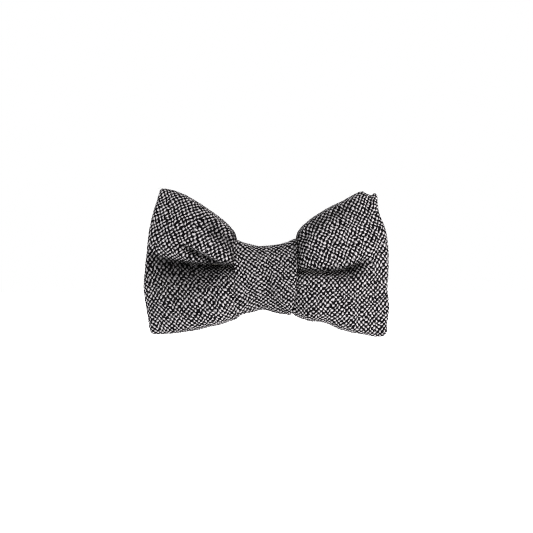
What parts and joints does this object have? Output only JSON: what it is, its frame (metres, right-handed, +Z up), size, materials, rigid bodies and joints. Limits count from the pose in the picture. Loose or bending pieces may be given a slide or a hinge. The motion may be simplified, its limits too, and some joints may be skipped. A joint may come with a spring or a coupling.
{
  "type": "clip-on bow tie",
  "caption": "Pre-tied butterfly bow tie in salt-and-pepper tweed: sewn and turned double wings, gathered waist, wrapped knot band and a sprung steel collar clip behind.",
  "frame": {"origin": "middle of the clip's grip, on the plane where the two jaws meet", "axes": "+X along the bow to the right seen from the front, +Z up as worn, the front of the bow faces -Y"},
  "size_m": [0.1192, 0.032, 0.0712],
  "materials": {
    "tweed": "coarse plain-weave wool, off-white and black yarns one over one, dry matt handle with loose fibre",
    "interlining": "unbleached fused cotton interlining, matt",
    "thread": "black polyester sewing thread, slight sheen",
    "nickel_steel": "nickel-plated stamped steel, tumbled, slightly satin",
    "spring_steel": "drawn spring wire, bright"
  },
  "bodies": {
    "bow": {"bow_front_panel": "tweed", "bow_back_panel": "tweed", "front_interlining": "interlining", "back_interlining": "interlining", "perimeter_seam_thread": "thread", "waist_gather_thread": "thread", "knot_band": "tweed", "knot_interlining": "interlining", "knot_closing_stitches": "thread", "clip_base": "nickel_steel", "clip_hinge_pin": "nickel_steel", "clip_spring": "spring_steel", "clip_sewing_stitches": "thread"},
    "lever": {"clip_lever": "nickel_steel"}
  },
  "joints": [
    {"name": "clip_hinge", "type": "hinge", "parent": "bow", "child": "lever", "pos_m": [0, 0.0032, -0.01], "axis": [-1, 0, 0], "range_deg": [0, 30], "stiffness_Nm_per_rad": 0.08, "springref_deg": -25.78, "deforming": ["clip_spring"]}
  ]
}
